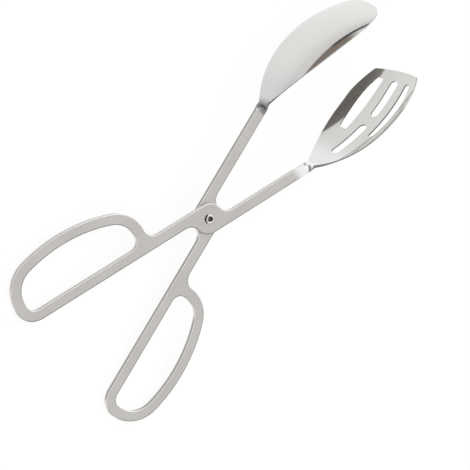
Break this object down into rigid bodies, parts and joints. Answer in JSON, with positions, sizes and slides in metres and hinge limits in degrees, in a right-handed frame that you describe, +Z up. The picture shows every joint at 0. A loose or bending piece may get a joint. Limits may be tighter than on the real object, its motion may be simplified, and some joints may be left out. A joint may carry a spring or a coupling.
{
  "type": "salad tongs",
  "caption": "Scissor salad tongs of stamped stainless steel with finger loops, a slotted head and a plain spoon head.",
  "frame": {"origin": "on the table, under the middle of the bounding box of the tongs as they lie at rest", "axes": "+X along the tongs from the finger loops to the heads, +Y to the side of the plain head and the slotted half's loop, +Z up from the table"},
  "size_m": [0.261, 0.1188, 0.0481],
  "materials": {
    "satin_steel": "satin stamped stainless steel, polished on the heads",
    "rivet_steel": "bright plated steel, rolled over by a punch"
  },
  "bodies": {
    "plain_side": {"plain_half": "satin_steel", "pivot_rivet": "rivet_steel"},
    "slotted_side": {"slotted_half": "satin_steel"}
  },
  "joints": [
    {"name": "rivet_pivot", "type": "hinge", "parent": "plain_side", "child": "slotted_side", "pos_m": [-0.02109, 0, 0.01124], "axis": [-0.0923, 0.0284, 0.9953], "range_deg": [-109, 16.6]}
  ]
}
